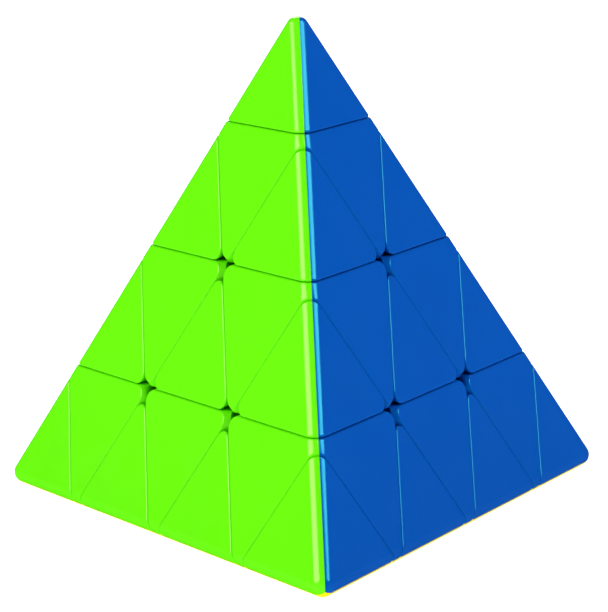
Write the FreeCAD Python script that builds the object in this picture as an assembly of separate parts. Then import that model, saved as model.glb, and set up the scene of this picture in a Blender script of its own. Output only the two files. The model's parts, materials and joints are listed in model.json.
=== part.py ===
"""Four-layer pyramid twisty puzzle, as separate pieces on a four-armed core. Millimetres, +Z up.

The origin is the middle of the bottom face, straight below the top vertex. Every cut is a plane
parallel to one of the four faces, so a piece is mostly a set of half-spaces. A place is given by its
share of the height above the face opposite a vertex: 0 on that face and 1 at the vertex.
"""
import FreeCAD
import Part

import itertools
import math
import os

from FreeCAD import Vector

# Driving dimensions
EDGE = 98.0             # edge of the pyramid with its corners still sharp
EDGE_ROUND = 1.8        # radius along the six outer edges
TIP_CUT = 0.7515        # shares of the height at which the three cuts of each vertex lie
MIDDLE_CUT = 0.5032
DEEP_CUT = 0.2523
GAP = 0.07              # play between neighbouring pieces
SEAM = 0.02             # between the parts that one piece is put together from
LAP = 0.3               # how far the green parts reach past the middle of an edge
CORNER_ROUND = 1.8      # rounds the corners where six pieces meet, which leaves the star-shaped holes
RIM_ROUND = 0.3         # along the rims of the coloured shells at the cuts
SHELL = 2.0             # thickness of the coloured shells on tips and vertex pieces
WALL = 1.8              # wall of the hollow wings, middle edges and face centres
CAP_DEPTH = 6.0         # of a face centre's coloured cap
PLAY = 0.3              # clearance inside the mechanism

# Distances from the middle of the pyramid, along a vertex axis
CORE_RADIUS = 9.3
ARM_RADIUS = 3.0
ARM_END = 12.3
FLANGE_INNER = 13.5     # the hub's umbrella-shaped flange lies between two spheres
FLANGE_OUTER = 16.0
FLANGE_ANGLE = 36.0     # half angle of that flange about its axis
CENTRE_FOOT_OUTER = 11.2
CENTRE_FOOT_ANGLE = 30.0
HOOK_RADIUS = 27.0      # sphere on which the wings' tongues end, under the hub
SPRING_FLOOR = 24.3     # bottom of the hub's wide bore
WASHER_BOTTOM = 30.4
WASHER_THICKNESS = 0.5
HEAD_THICKNESS = 1.8
SCREW_START = 5.0
PEG_END = 34.8          # lower end of the tip's peg

# Radii about a vertex axis
SLEEVE_RADIUS = 4.2
SCREW_RADIUS = 1.45
HEAD_RADIUS = 2.6
WASHER_RADIUS = 2.85
RUNNING_CLEARANCE = 0.05
WIDE_BORE_RADIUS = 3.0
PEG_RADIUS = 2.94
BEAD_RADIUS = 3.2       # snap bead on the peg
BEAD_HEIGHT = 1.2
BEAD_PLACE = 37.0
TONGUE_START = 5.3
TONGUE_END = 14.0
TONGUE_HALF_WIDTH = 4.0
SPRING_RADIUS = 2.2
SPRING_WIRE = 0.3
SPRING_PITCH = 1.15
SPRING_POINTS_PER_TURN = 16
RECESS_DEPTH = 1.0      # cross recess in the screw head
RECESS_LENGTH = 3.2
RECESS_WIDTH = 0.7

HEIGHT = EDGE * math.sqrt(2.0 / 3.0)
BASE_REACH = EDGE / math.sqrt(3.0)       # from the middle of the base to each of its corners
MIDDLE_SHARE = 0.25                      # the middle lies at a quarter of the height
MIDDLE = Vector(0, 0, MIDDLE_SHARE * HEIGHT)
FAR = 3 * EDGE

VERTICES = {
    "top": Vector(0, 0, HEIGHT),
    "left": Vector(-EDGE / 2, BASE_REACH / 2, 0),
    "front": Vector(0, -BASE_REACH, 0),
    "right": Vector(EDGE / 2, BASE_REACH / 2, 0),
}
COLOUR_OPPOSITE = {"top": "yellow", "left": "blue", "front": "red", "right": "green"}
VERTEX_OPPOSITE = {colour: vertex for vertex, colour in COLOUR_OPPOSITE.items()}
LAPPING_COLOUR = "green"
AXES = {name: (place - MIDDLE).normalize() for name, place in VERTICES.items()}


def others(*names):
    """The vertices that are not named, in a fixed order."""
    return [name for name in VERTICES if name not in names]


# Half-spaces: (outward normal, distance), holding the points p with normal.p <= distance

def above(vertex, share, clearance=0.0):
    """Nearer the vertex than the plane at that share of the height."""
    axis = AXES[vertex]
    return (-axis, -(axis.dot(MIDDLE) + (share - MIDDLE_SHARE) * HEIGHT + clearance))


def below(vertex, share, clearance=0.0):
    """Further from the vertex than the plane at that share of the height."""
    axis = AXES[vertex]
    return (axis, axis.dot(MIDDLE) + (share - MIDDLE_SHARE) * HEIGHT - clearance)


def inside_face(colour, depth=0.0):
    """At least that deep under the coloured face."""
    return above(VERTEX_OPPOSITE[colour], 0.0, depth)


def along(direction, low, high):
    """Two half-spaces that hold what lies between two distances from the middle."""
    start = direction.dot(MIDDLE)
    return [(-direction, -(start + low)), (direction, start + high)]


def nearest_to(colour, rivals):
    """The half-spaces nearer to one face than to each of the rivals: the parting planes of a piece."""
    own = AXES[VERTEX_OPPOSITE[colour]]
    planes = []
    for rival in rivals:
        normal = (own - AXES[VERTEX_OPPOSITE[rival]]).normalize()
        lap = LAP * ((colour == LAPPING_COLOUR) - (rival == LAPPING_COLOUR))
        planes.append((normal, normal.dot(MIDDLE) + lap - SEAM / 2))
    return planes


def box_planes():
    """Six far half-spaces that close an open set."""
    return [(Vector(*(sign if k == axis else 0 for k in range(3))), FAR)
            for axis in range(3) for sign in (-1, 1)]


def convex(planes):
    """The solid that all the half-spaces share."""
    planes = list(planes) + box_planes()
    on_plane = {index: [] for index in range(len(planes))}
    for triple in itertools.combinations(range(len(planes)), 3):
        (n1, d1), (n2, d2), (n3, d3) = (planes[index] for index in triple)
        volume = n1.dot(n2.cross(n3))
        if abs(volume) < 1e-6:
            continue
        point = (n2.cross(n3) * d1 + n3.cross(n1) * d2 + n1.cross(n2) * d3) * (1 / volume)
        if any(n.dot(point) > d + 1e-6 for n, d in planes):
            continue
        for index, (n, d) in enumerate(planes):
            known = on_plane[index]
            if abs(n.dot(point) - d) < 1e-6 and all((point - p).Length > 1e-5 for p in known):
                known.append(point)
    faces = []
    for index, points in on_plane.items():
        if len(points) < 3:
            continue
        normal = planes[index][0]
        middle = sum(points, Vector()) * (1 / len(points))
        side = (points[0] - middle).normalize()
        across = normal.cross(side)
        points.sort(key=lambda p: math.atan2((p - middle).dot(across), (p - middle).dot(side)))
        faces.append(Part.Face(Part.makePolygon(points + points[:1])))
    return Part.Solid(Part.Shell(faces))


def rounded_wedge(first, second, radius):
    """What two half-spaces share, with the edge between them rounded."""
    wedge = convex([first, second])
    edge = next(
        edge for edge in wedge.Edges
        if all(abs(n.dot(v.Point) - d) < 1e-5 for v in edge.Vertexes for n, d in (first, second))
    )
    return wedge.makeFillet(radius, [edge])


def moulded(faces, cuts, rounded_pairs=(), buried=()):
    """A piece inside its faces, its cuts and what is buried below, with some of its corners rounded."""
    solid = convex(faces + cuts + list(buried))
    for first, second in rounded_pairs:
        solid = solid.common(rounded_wedge(first, second, CORNER_ROUND))
    return solid.common(ROUNDED_PYRAMID)


def ball(radius):
    return Part.makeSphere(radius, MIDDLE)


def to_axis(shape, direction):
    """Moves a shape made about +Z through the origin to stand on the middle of the pyramid."""
    place = FreeCAD.Placement(MIDDLE, FreeCAD.Rotation(Vector(0, 0, 1), direction))
    moved = shape.copy()
    moved.Placement = place.multiply(shape.Placement)
    return moved


def rod(direction, radius, low, high):
    """A cylinder along a direction, between two distances from the middle."""
    return to_axis(Part.makeCylinder(radius, high - low, Vector(0, 0, low)), direction)


def ring(direction, outer, inner, low, high):
    return rod(direction, outer, low, high).cut(rod(direction, inner, low - 1, high + 1))


def umbrella(direction, low, high, half_angle):
    """The part of a thick sphere that lies inside a cone about a direction."""
    reach = 2 * high
    cone = Part.makeCone(0, reach * math.tan(math.radians(half_angle)), reach)
    return ball(high).cut(ball(low)).common(to_axis(cone, direction))


def single(shape):
    """The one solid of a result that should hold just one."""
    solids = shape.Solids
    if len(solids) != 1:
        raise ValueError(f"expected one solid and found {len(solids)}")
    return solids[0]


# Coloured pieces

HALF_GAP = GAP / 2
ROUNDED_PYRAMID = convex([inside_face(colour) for colour in VERTEX_OPPOSITE])
ROUNDED_PYRAMID = ROUNDED_PYRAMID.makeFillet(EDGE_ROUND, ROUNDED_PYRAMID.Edges)


def colours_at(*vertices):
    """The faces that meet along an edge (two vertices named) or at a vertex (one named)."""
    return [COLOUR_OPPOSITE[name] for name in others(*vertices)]


def lies_on_skin(edge):
    """True for an edge that runs along the outside of the puzzle."""
    first, last = edge.ParameterRange
    places = (first, (first + last) / 2, last)
    skin = ROUNDED_PYRAMID.Shells[0]
    return all(skin.distToShape(Part.Vertex(edge.valueAt(place)))[0] < 1e-4 for place in places)


def with_rounded_rims(solid):
    """Rounds the edges that bound the visible surface of a coloured shell."""
    uses = {}
    for face in solid.Faces:
        if all(lies_on_skin(edge) for edge in face.Edges):
            for edge in face.Edges:
                uses.setdefault(edge.hashCode(), []).append(edge)
    rims = [edges[0] for edges in uses.values() if len(edges) == 1]
    return single(solid.makeFillet(RIM_ROUND, rims))


def halves(solid, colours):
    """Splits a solid along the parting planes between its coloured faces. Only the rims at the cuts are rounded."""
    rounded = with_rounded_rims(solid)
    parts = {}
    for colour in colours:
        rivals = [other for other in colours if other != colour]
        parts[colour] = single(rounded.common(convex(nearest_to(colour, rivals))))
    return parts


def wing(near, far):
    """One of the two outer pieces of an edge, in two coloured halves. Its tongue hooks under the hub."""
    colours = colours_at(near, far)
    faces = [inside_face(colour) for colour in colours]
    cuts = [above(near, MIDDLE_CUT, HALF_GAP), above(far, DEEP_CUT, HALF_GAP)]
    body = moulded(faces, cuts, [tuple(cuts)])
    outward = (AXES[far] + AXES[near] * (1 / 3)).normalize()
    across = AXES[near].cross(outward)
    tongue = convex([cuts[0], *along(outward, TONGUE_START, TONGUE_END),
                     *along(across, -TONGUE_HALF_WIDTH, TONGUE_HALF_WIDTH)])
    inner = [inside_face(colour, WALL) for colour in colours]
    inner += [above(near, MIDDLE_CUT, HALF_GAP + WALL), above(far, DEEP_CUT, HALF_GAP + WALL)]
    body = body.fuse(tongue.common(ball(HOOK_RADIUS))).removeSplitter().cut(convex(inner))
    return halves(body, colours)


def middle_edge(first, second):
    """The middle piece of an edge, in two coloured halves that reach down to the core ball."""
    colours = colours_at(first, second)
    faces = [inside_face(colour) for colour in colours]
    shallow = [below(name, MIDDLE_CUT, HALF_GAP) for name in (first, second)]
    deep = [below(name, DEEP_CUT, HALF_GAP) for name in others(first, second)]
    floor = [above(name, DEEP_CUT, HALF_GAP) for name in (first, second)]
    body = moulded(faces, shallow + deep, itertools.product(shallow, deep), floor)
    outward = (AXES[first] + AXES[second]).normalize()
    inner = [inside_face(colour, WALL) for colour in colours]
    inner += [below(name, MIDDLE_CUT, HALF_GAP + WALL) for name in (first, second)]
    inner += [below(name, DEEP_CUT, HALF_GAP + WALL) for name in others(first, second)]
    inner += along(outward, FLANGE_OUTER + PLAY + WALL, FAR / 4)
    body = body.cut(convex(inner)).cut(ball(CORE_RADIUS + PLAY))
    for name in (first, second):
        body = body.cut(umbrella(AXES[name], FLANGE_INNER - PLAY, FLANGE_OUTER + PLAY, FLANGE_ANGLE + 2))
    for colour in colours:
        hollow = umbrella(-AXES[VERTEX_OPPOSITE[colour]], CORE_RADIUS, CENTRE_FOOT_OUTER + PLAY,
                          CENTRE_FOOT_ANGLE + 1.5)
        body = body.cut(hollow)
    return halves(body, colours)


def face_centre(colour):
    """The middle piece of a face: a coloured cap, and under it a stalk whose foot hooks below the edges."""
    corner_names = others(VERTEX_OPPOSITE[colour])
    cuts = [above(name, DEEP_CUT, HALF_GAP) for name in corner_names]
    body = moulded([inside_face(colour)], cuts, itertools.combinations(cuts, 2))
    inner = [inside_face(colour, WALL)] + [above(name, DEEP_CUT, HALF_GAP + WALL) for name in corner_names]
    cap = body.cut(convex(inner)).cut(convex([inside_face(colour, CAP_DEPTH)]))
    cap = with_rounded_rims(single(cap))
    outward = -AXES[VERTEX_OPPOSITE[colour]]
    foot = umbrella(outward, CORE_RADIUS + PLAY, CENTRE_FOOT_OUTER, CENTRE_FOOT_ANGLE)
    stalk = body.common(convex([inside_face(colour, CAP_DEPTH + SEAM)])).cut(ball(CORE_RADIUS + PLAY))
    stalk = single(stalk.fuse(foot).removeSplitter())
    return [cap, stalk]


def shells_and_inside(body, colours, inside):
    """The coloured shells of a three-coloured piece, and the block that they are fixed to."""
    block = single(body.common(convex([inside_face(colour, SHELL + SEAM) for colour in colours])))
    skin = body.cut(convex([inside_face(colour, SHELL) for colour in colours]))
    return list(halves(skin, colours).values()), inside(block)


def vertex_piece(vertex):
    """The piece under a tip: three coloured shells on a hub that turns about the axis screw."""
    axis = AXES[vertex]
    colours = colours_at(vertex)
    faces = [inside_face(colour) for colour in colours]
    cuts = [above(vertex, MIDDLE_CUT, HALF_GAP), below(vertex, TIP_CUT, HALF_GAP)]
    sides = [below(name, DEEP_CUT, HALF_GAP) for name in others(vertex)]
    body = moulded(faces, cuts + sides, itertools.combinations(sides, 2))
    top = (TIP_CUT - MIDDLE_SHARE) * HEIGHT

    def hub(block):
        block = block.cut(ball(HOOK_RADIUS + PLAY))
        sleeve = rod(axis, SLEEVE_RADIUS, ARM_END + PLAY, HOOK_RADIUS + 2 * SHELL)
        flange = umbrella(axis, FLANGE_INNER, FLANGE_OUTER, FLANGE_ANGLE)
        block = block.fuse([sleeve, flange]).removeSplitter()
        block = block.cut(rod(axis, SCREW_RADIUS + RUNNING_CLEARANCE, 0, SPRING_FLOOR))
        block = block.cut(rod(axis, WIDE_BORE_RADIUS, SPRING_FLOOR, top))
        groove_low = BEAD_PLACE - PLAY / 2
        groove_high = BEAD_PLACE + BEAD_HEIGHT + PLAY / 2
        return single(block.cut(rod(axis, BEAD_RADIUS + PLAY / 2, groove_low, groove_high)))

    return shells_and_inside(body, colours, hub)


def tip(vertex):
    """A tip: three coloured shells on a stem whose peg snaps into the hub below."""
    axis = AXES[vertex]
    colours = colours_at(vertex)
    faces = [inside_face(colour) for colour in colours]
    body = moulded(faces, [above(vertex, TIP_CUT, HALF_GAP)])
    bottom = (TIP_CUT - MIDDLE_SHARE) * HEIGHT + HALF_GAP

    def stem(block):
        peg = rod(axis, PEG_RADIUS, PEG_END, bottom + SHELL)
        bead = rod(axis, BEAD_RADIUS, BEAD_PLACE, BEAD_PLACE + BEAD_HEIGHT)
        return single(block.fuse([peg, bead]).removeSplitter())

    return shells_and_inside(body, colours, stem)


# Mechanism

def core():
    """The ball in the middle, with four arms bored for the axis screws."""
    body = ball(CORE_RADIUS)
    for axis in AXES.values():
        body = body.fuse(rod(axis, ARM_RADIUS, 0, ARM_END))
    for axis in AXES.values():
        body = body.cut(rod(axis, SCREW_RADIUS + RUNNING_CLEARANCE, SCREW_START - PLAY, ARM_END + 1))
    return single(body)


def axis_screw(axis):
    """A plain-shanked screw with a cross recess in its head."""
    head_bottom = WASHER_BOTTOM + WASHER_THICKNESS
    head_top = head_bottom + HEAD_THICKNESS
    head = rod(axis, HEAD_RADIUS, head_bottom, head_top)
    screw = rod(axis, SCREW_RADIUS, SCREW_START, head_bottom).fuse(head)
    for length, width in ((RECESS_LENGTH, RECESS_WIDTH), (RECESS_WIDTH, RECESS_LENGTH)):
        corner = Vector(-length / 2, -width / 2, head_top - RECESS_DEPTH)
        slot = Part.makeBox(length, width, HEAD_THICKNESS, corner)
        screw = screw.cut(to_axis(slot, axis))
    return single(screw.removeSplitter())


def washer(axis):
    return ring(axis, WASHER_RADIUS, SCREW_RADIUS + RUNNING_CLEARANCE, WASHER_BOTTOM,
                WASHER_BOTTOM + WASHER_THICKNESS)


def spring(axis):
    """A compression spring round the screw, between the hub's inner floor and the washer."""
    low = SPRING_FLOOR + PLAY / 2 + SPRING_WIRE
    length = WASHER_BOTTOM - PLAY / 2 - SPRING_WIRE - low
    turns = length / SPRING_PITCH
    steps = round(turns * SPRING_POINTS_PER_TURN)
    points = []
    for step in range(steps + 1):
        angle = 2 * math.pi * turns * step / steps
        points.append(Vector(SPRING_RADIUS * math.cos(angle), SPRING_RADIUS * math.sin(angle),
                             low + length * step / steps))
    centre_line = Part.BSplineCurve()
    centre_line.interpolate(points)
    wire_end = Part.Circle(points[0], centre_line.tangent(0)[0], SPRING_WIRE)
    path = Part.Wire([centre_line.toShape()])
    coil = path.makePipeShell([Part.Wire([wire_end.toShape()])], True, False)
    return single(to_axis(coil, axis))


def build():
    parts = {"core": [core()]}
    makers = {"axis_screws": axis_screw, "tension_springs": spring, "spring_washers": washer}
    for name, maker in makers.items():
        parts[name] = [maker(axis) for axis in AXES.values()]
    for vertex in VERTICES:
        parts[f"tip_shells_{vertex}"], stem = tip(vertex)
        parts[f"tip_stem_{vertex}"] = [stem]
        parts[f"vertex_shells_{vertex}"], hub = vertex_piece(vertex)
        parts[f"vertex_hub_{vertex}"] = [hub]
        for far in others(vertex):
            for colour, half in wing(vertex, far).items():
                parts[f"wing_{vertex}_{far}_{colour}"] = [half]
    for first, second in itertools.combinations(VERTICES, 2):
        for colour, half in middle_edge(first, second).items():
            parts[f"middle_edge_{first}_{second}_{colour}"] = [half]
    for colour in VERTEX_OPPOSITE:
        parts[f"face_center_{colour}"] = face_centre(colour)
    return parts


os.makedirs("parts", exist_ok=True)
for node, solids in build().items():
    for solid in solids:
        if not solid.isValid() or solid.Volume <= 0:
            raise ValueError(f"{node} has a bad solid")
    shape = solids[0] if len(solids) == 1 else Part.Compound(solids)
    shape.exportStep(os.path.join("parts", node + ".step"))
    print(f"{node:36s} solids {len(solids)}  volume {sum(s.Volume for s in solids) / 1000:7.3f} cm3")
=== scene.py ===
"""Looks of the four-layer pyramid twisty puzzle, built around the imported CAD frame. Metres, +Z up.

Each coloured shell becomes a piece of its own, moulded in the colour of the face that it lies on. The black
mechanism and the steel axis parts are the CAD's own nodes with finished materials.
"""
import json
import math

import bmesh
import bpy
from mathutils import Matrix, Vector


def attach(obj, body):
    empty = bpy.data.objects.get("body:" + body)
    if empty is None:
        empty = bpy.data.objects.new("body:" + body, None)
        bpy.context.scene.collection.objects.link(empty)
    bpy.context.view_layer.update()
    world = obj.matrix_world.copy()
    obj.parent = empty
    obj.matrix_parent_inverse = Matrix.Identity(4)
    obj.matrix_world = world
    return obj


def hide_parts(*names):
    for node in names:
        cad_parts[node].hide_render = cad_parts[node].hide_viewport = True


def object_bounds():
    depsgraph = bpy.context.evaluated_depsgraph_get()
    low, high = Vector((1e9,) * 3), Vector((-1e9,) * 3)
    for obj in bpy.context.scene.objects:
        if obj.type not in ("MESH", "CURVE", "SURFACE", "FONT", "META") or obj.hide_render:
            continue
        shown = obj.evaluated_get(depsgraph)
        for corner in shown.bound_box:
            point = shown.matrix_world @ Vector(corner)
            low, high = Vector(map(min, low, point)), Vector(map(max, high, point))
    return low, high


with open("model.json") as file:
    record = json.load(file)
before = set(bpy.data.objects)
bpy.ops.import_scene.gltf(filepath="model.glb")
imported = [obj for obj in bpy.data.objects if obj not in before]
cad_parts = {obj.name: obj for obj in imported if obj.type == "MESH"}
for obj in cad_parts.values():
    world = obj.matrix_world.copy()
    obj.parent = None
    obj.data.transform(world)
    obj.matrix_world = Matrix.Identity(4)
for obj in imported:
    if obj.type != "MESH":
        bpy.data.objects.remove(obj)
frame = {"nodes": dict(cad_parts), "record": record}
cad_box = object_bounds()

# The pyramid, worked out from the frame
EDGE_ROUND = 0.0018
LOW, HIGH = (Vector(corner) for corner in cad_box)
HEIGHT = HIGH.z - LOW.z + 2 * EDGE_ROUND      # of the pyramid with its corners still sharp
EDGE = HEIGHT / math.sqrt(2 / 3)
REACH = EDGE / math.sqrt(3)
MIDDLE = Vector((0, 0, HEIGHT / 4))
VERTICES = {
    "top": Vector((0, 0, HEIGHT)),
    "left": Vector((-EDGE / 2, REACH / 2, 0)),
    "front": Vector((0, -REACH, 0)),
    "right": Vector((EDGE / 2, REACH / 2, 0)),
}
VERTEX_OPPOSITE = {"yellow": "top", "blue": "left", "red": "front", "green": "right"}
AXES = {name: (place - MIDDLE).normalized() for name, place in VERTICES.items()}
NODE_BODY = {node: body for body, nodes in frame["record"]["behaviour"]["bodies"].items() for node in nodes}

# The camera: where the photograph was taken from
CAMERA_TARGET = Vector((0, 0, 0.0321))
CAMERA_AZIMUTH = math.radians(-1.86)
CAMERA_ELEVATION = math.radians(10.19)
CAMERA_ROLL = math.radians(-1.35)
CAMERA_DISTANCE = 0.5357
CAMERA_LENS = 206.5


# Materials

FLOW_TONE = 0.96                             # of the flow marks, beside the plain colour
POLISHED, HANDLED = 0.18, 0.23               # roughness of the coloured plastic
DEEP_BLACK = (0.008, 0.008, 0.009, 1)
WORN_BLACK = (0.022, 0.022, 0.024, 1)
PLATING_TONE = 1.15                          # of the plating's clouds, beside the plain steel


class Nodes:
    """Short calls for building one material's node tree."""

    def __init__(self, name):
        self.material = bpy.data.materials.new(name)
        self.material.use_nodes = True
        self.tree = self.material.node_tree
        self.shader = self.tree.nodes["Principled BSDF"]
        self.place = self.add("ShaderNodeTexCoord").outputs["Object"]

    def add(self, kind, **values):
        """A new node, with its input sockets set by name to values or linked to other nodes' outputs."""
        node = self.tree.nodes.new(kind)
        for name, value in values.items():
            self.feed(node.inputs[name.replace("_", " ")], value)
        return node

    def feed(self, socket, value):
        if isinstance(value, bpy.types.NodeSocket):
            self.tree.links.new(value, socket)
        else:
            socket.default_value = value

    def shade(self, name, value):
        self.feed(self.shader.inputs[name], value)

    def noise(self, scale, detail=3.0, roughness=0.5):
        sockets = {"Vector": self.place, "Scale": scale, "Detail": detail, "Roughness": roughness}
        return self.add("ShaderNodeTexNoise", **sockets).outputs["Fac"]

    def ramp(self, value, low, high, out_low, out_high):
        node = self.add("ShaderNodeMapRange", Value=value)
        for name, number in (("From Min", low), ("From Max", high), ("To Min", out_low), ("To Max", out_high)):
            node.inputs[name].default_value = number
        return node.outputs["Result"]

    def mix(self, factor, first, second):
        node = self.add("ShaderNodeMix")
        node.data_type = "RGBA"
        self.feed(node.inputs["Factor"], factor)
        self.feed(node.inputs["A"], first)
        self.feed(node.inputs["B"], second)
        return node.outputs["Result"]

    def bump(self, height, strength, distance, normal=None):
        node = self.add("ShaderNodeBump", Height=height, Strength=strength, Distance=distance)
        if normal is not None:
            self.feed(node.inputs["Normal"], normal)
        return node.outputs["Normal"]


def coloured_plastic(name, colour, sheen):
    """Moulded, dyed plastic with faint flow marks, haze from handling, and a fine skin over slow waves."""
    nodes = Nodes(name)
    flow_marks = nodes.noise(scale=38.0, detail=4.0, roughness=0.55)
    deeper = [FLOW_TONE * value for value in colour]
    flow = nodes.ramp(flow_marks, low=0.35, high=0.65, out_low=0.0, out_high=1.0)
    nodes.shade("Base Color", nodes.mix(flow, (*colour, 1), (*deeper, 1)))
    handling = nodes.noise(scale=120.0, detail=5.0, roughness=0.6)
    haze = nodes.ramp(handling, low=0.3, high=0.7, out_low=POLISHED, out_high=HANDLED)
    nodes.shade("Roughness", haze)
    skin = nodes.bump(nodes.noise(scale=2600.0, detail=2.0), strength=0.03, distance=0.00002)
    waves = nodes.bump(nodes.noise(scale=60.0, detail=2.0), strength=0.03, distance=0.0002, normal=skin)
    nodes.shade("Normal", waves)
    nodes.shade("Specular IOR Level", 1.0)
    nodes.shade("Specular Tint", (*sheen, 1))
    return nodes.material


def black_plastic():
    """The mechanism's matt black plastic, with a spark-eroded texture and lubricant sheen in patches."""
    nodes = Nodes("mechanism_black")
    patches = nodes.noise(scale=160.0, detail=4.0)
    tone = nodes.ramp(patches, low=0.3, high=0.7, out_low=0.0, out_high=1.0)
    nodes.shade("Base Color", nodes.mix(tone, DEEP_BLACK, WORN_BLACK))
    grease = nodes.noise(scale=60.0, detail=3.0)
    nodes.shade("Roughness", nodes.ramp(grease, low=0.35, high=0.65, out_low=0.38, out_high=0.62))
    texture = nodes.noise(scale=1900.0, detail=4.0, roughness=0.7)
    nodes.shade("Normal", nodes.bump(texture, strength=0.25, distance=0.00006))
    return nodes.material


def steel(name, tone, grain):
    """Zinc-plated steel with a fine grain and cloudy plating."""
    nodes = Nodes(name)
    plating = nodes.noise(scale=500.0, detail=3.0)
    cloud = nodes.ramp(plating, low=0.3, high=0.7, out_low=0.0, out_high=1.0)
    brighter = [PLATING_TONE * value for value in tone]
    nodes.shade("Base Color", nodes.mix(cloud, (*tone, 1), (*brighter, 1)))
    nodes.shade("Metallic", 1.0)
    scratches = nodes.noise(scale=grain, detail=6.0, roughness=0.7)
    nodes.shade("Roughness", nodes.ramp(scratches, low=0.3, high=0.7, out_low=0.22, out_high=0.42))
    nodes.shade("Normal", nodes.bump(scratches, strength=0.2, distance=0.00002))
    return nodes.material


PLASTICS = {
    "green": coloured_plastic("plastic_green", (0.126, 0.820, 0.000), (1.0, 1.0, 0.45)),
    "blue": coloured_plastic("plastic_blue", (0.000, 0.076, 0.420), (0.05, 1.0, 0.85)),
    "red": coloured_plastic("plastic_red", (0.650, 0.010, 0.012), (1.0, 0.75, 0.75)),
    "yellow": coloured_plastic("plastic_yellow", (0.880, 0.720, 0.001), (1.0, 1.0, 0.50)),
}
BLACK = black_plastic()
METALS = {                                   # tone and scale of the grain
    "axis_screws": steel("steel_screw", (0.56, 0.56, 0.54), 3000.0),
    "spring_washers": steel("steel_washer", (0.60, 0.60, 0.58), 2200.0),
    "tension_springs": steel("steel_spring", (0.45, 0.45, 0.46), 4200.0),
}


# Coloured shells

SAME_POINT = 1e-7                            # vertices nearer than this are one
FLAT_ANGLE = math.radians(0.2)               # triangles within this angle are merged into one flat face
SHARP_ANGLE = math.radians(32)               # steeper edges stay sharp
STALK_DEPTH = 2 * EDGE_ROUND                 # a face centre's stalk starts deeper than this


def loose_solids(node):
    """The separate closed solids of a CAD node, as new bmeshes."""
    whole = bmesh.new()
    whole.from_mesh(frame["nodes"][node].data)
    bmesh.ops.remove_doubles(whole, verts=whole.verts, dist=SAME_POINT)
    whole.verts.ensure_lookup_table()
    group = [-1] * len(whole.verts)
    count = 0
    for start in whole.verts:
        if group[start.index] >= 0:
            continue
        waiting = [start]
        group[start.index] = count
        while waiting:
            for edge in waiting.pop().link_edges:
                for vertex in edge.verts:
                    if group[vertex.index] < 0:
                        group[vertex.index] = count
                        waiting.append(vertex)
        count += 1
    solids = []
    for number in range(count):
        solid = whole.copy()
        solid.verts.ensure_lookup_table()
        extra = [vertex for vertex in solid.verts if group[vertex.index] != number]
        bmesh.ops.delete(solid, geom=extra, context="VERTS")
        solids.append(solid)
    whole.free()
    return solids


def depth_under(colour, point):
    """How far a point lies under a coloured face."""
    return (point - MIDDLE).dot(AXES[VERTEX_OPPOSITE[colour]]) + HEIGHT / 4


def nearest_colour(solid):
    """The face that a shell lies on."""
    centre = sum((vertex.co for vertex in solid.verts), Vector()) / len(solid.verts)
    return min(VERTEX_OPPOSITE, key=lambda colour: depth_under(colour, centre))


def finished_piece(name, solid, material):
    """A smooth-shaded object from a solid: flats stay flat and the rounded rims run smoothly into them."""
    mesh = bpy.data.meshes.new(name)
    bmesh.ops.dissolve_limit(solid, angle_limit=FLAT_ANGLE, verts=solid.verts, edges=solid.edges)
    solid.to_mesh(mesh)
    solid.free()
    mesh.shade_smooth()
    mesh.set_sharp_from_angle(angle=SHARP_ANGLE)
    mesh.materials.append(material)
    piece = bpy.data.objects.new(name, mesh)
    bpy.context.scene.collection.objects.link(piece)
    normals = piece.modifiers.new("flat_faces_lead", "WEIGHTED_NORMAL")
    normals.keep_sharp = True
    return piece


def coloured_pieces(node):
    """Replaces a node of coloured shells with one piece for each shell, and for a face centre's black stalk."""
    for solid in loose_solids(node):
        colour = nearest_colour(solid)
        depth = min(depth_under(colour, vertex.co) for vertex in solid.verts)
        is_stalk = node.startswith("face_center") and depth > STALK_DEPTH
        material = BLACK if is_stalk else PLASTICS[colour]
        suffix = "stalk" if is_stalk else colour
        piece = finished_piece(f"{node}_piece_{suffix}", solid, material)
        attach(piece, NODE_BODY[node])
        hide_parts(node)


def finish_cad_node(node, material):
    """Keeps a CAD node's own shape and gives it a material and smooth shading."""
    mesh = frame["nodes"][node].data
    mesh.materials.clear()
    mesh.materials.append(material)
    mesh.shade_smooth()
    mesh.set_sharp_from_angle(angle=SHARP_ANGLE)


COLOURED = ("tip_shells", "vertex_shells", "wing", "middle_edge", "face_center")
for node in sorted(NODE_BODY):
    if node.startswith(COLOURED):
        coloured_pieces(node)
    else:
        finish_cad_node(node, METALS.get(node, BLACK))


# Stage

FLOOR_REACH = 40 * EDGE                      # to each side
FLOOR_DROP = 0.0001                          # keeps the floor clear of the bottom face
FLOOR_WHITE = (0.93, 0.93, 0.93, 1)
FLOOR_GLOW = 0.85                            # keeps the ground white around the object
SURROUND_CAMERA = 1.0                        # strength of the white surround as the camera sees it,
SURROUND_DIFFUSE = 0.4                       # as it lights the object
SURROUND_GLOSSY = 0.02                       # and as the plastic mirrors it


def make_floor():
    """A white light table."""
    mesh = bpy.data.meshes.new("floor")
    corners = [(x * FLOOR_REACH, y * FLOOR_REACH, 0) for x, y in ((-1, -1), (1, -1), (1, 1), (-1, 1))]
    mesh.from_pydata(corners, [], [(0, 1, 2, 3)])
    floor = bpy.data.objects.new("floor", mesh)
    floor.location.z = -FLOOR_DROP
    bpy.context.scene.collection.objects.link(floor)
    nodes = Nodes("floor_white")
    nodes.shade("Base Color", FLOOR_WHITE)
    nodes.shade("Roughness", 0.9)
    nodes.shade("Specular IOR Level", 0.0)
    nodes.shade("Emission Color", (1, 1, 1, 1))
    nodes.shade("Emission Strength", FLOOR_GLOW)
    mesh.materials.append(nodes.material)
    floor.visible_glossy = False


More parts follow.
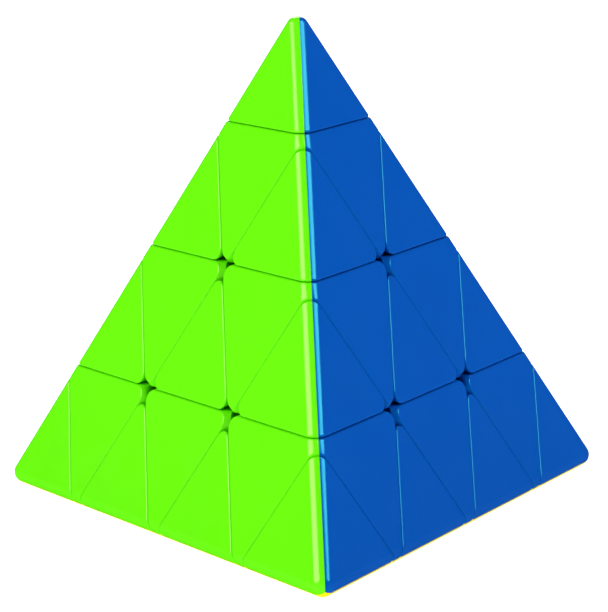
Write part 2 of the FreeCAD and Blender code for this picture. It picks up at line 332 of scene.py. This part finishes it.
def make_world():
    """White behind the object, and a dimmer surround for what lights it and what the plastic mirrors."""
    world = bpy.data.worlds.new("studio")
    world.use_nodes = True
    tree = world.node_tree
    background = tree.nodes["Background"]
    background.inputs["Color"].default_value = (1, 1, 1, 1)
    rays = tree.nodes.new("ShaderNodeLightPath")
    lighting = tree.nodes.new("ShaderNodeMix")
    lighting.inputs["A"].default_value = SURROUND_DIFFUSE
    lighting.inputs["B"].default_value = SURROUND_GLOSSY
    strength = tree.nodes.new("ShaderNodeMix")
    strength.inputs["B"].default_value = SURROUND_CAMERA
    tree.links.new(rays.outputs["Is Glossy Ray"], lighting.inputs["Factor"])
    tree.links.new(lighting.outputs["Result"], strength.inputs["A"])
    tree.links.new(rays.outputs["Is Camera Ray"], strength.inputs["Factor"])
    tree.links.new(strength.outputs["Result"], background.inputs["Strength"])
    bpy.context.scene.world = world


def direction(azimuth, elevation):
    """The unit vector from the object towards a place; azimuth 0 is straight in front."""
    a, e = math.radians(azimuth), math.radians(elevation)
    return Vector((math.sin(a) * math.cos(e), -math.cos(a) * math.cos(e), math.sin(e)))


def softbox(name, azimuth, elevation, distance, width, height, watts):
    """A rectangular area light that faces the middle of the pyramid. Metres, degrees and watts."""
    light = bpy.data.lights.new(name, "AREA")
    light.shape = "RECTANGLE"
    light.size = width
    light.size_y = height
    light.energy = watts
    box = bpy.data.objects.new(name, light)
    towards = direction(azimuth, elevation)
    box.location = MIDDLE + towards * distance
    box.rotation_euler = towards.to_track_quat("Z", "Y").to_euler()
    bpy.context.scene.collection.objects.link(box)


def make_camera():
    """The camera, rolled about its line of sight."""
    back = direction(math.degrees(CAMERA_AZIMUTH), math.degrees(CAMERA_ELEVATION))
    right = Vector((math.cos(CAMERA_AZIMUTH), math.sin(CAMERA_AZIMUTH), 0))
    up = back.cross(right)
    rolled_right = right * math.cos(CAMERA_ROLL) + up * math.sin(CAMERA_ROLL)
    rolled_up = up * math.cos(CAMERA_ROLL) - right * math.sin(CAMERA_ROLL)
    lens = bpy.data.cameras.new("camera")
    lens.lens = CAMERA_LENS
    lens.clip_start = 0.01
    camera = bpy.data.objects.new("camera", lens)
    axes = Matrix((rolled_right, rolled_up, back)).transposed()
    camera.matrix_world = Matrix.Translation(CAMERA_TARGET + back * CAMERA_DISTANCE) @ axes.to_4x4()
    bpy.context.scene.collection.objects.link(camera)
    bpy.context.scene.camera = camera


make_floor()
make_world()
softbox("left_box", azimuth=-70, elevation=36, distance=0.8, width=0.60, height=0.5, watts=3.9)
softbox("right_box", azimuth=74, elevation=46, distance=0.8, width=0.34, height=0.5, watts=3.4)
softbox("back_box", azimuth=180, elevation=40, distance=0.9, width=0.5, height=0.5, watts=3.0)
make_camera()
bpy.context.scene.view_settings.view_transform = "Standard"
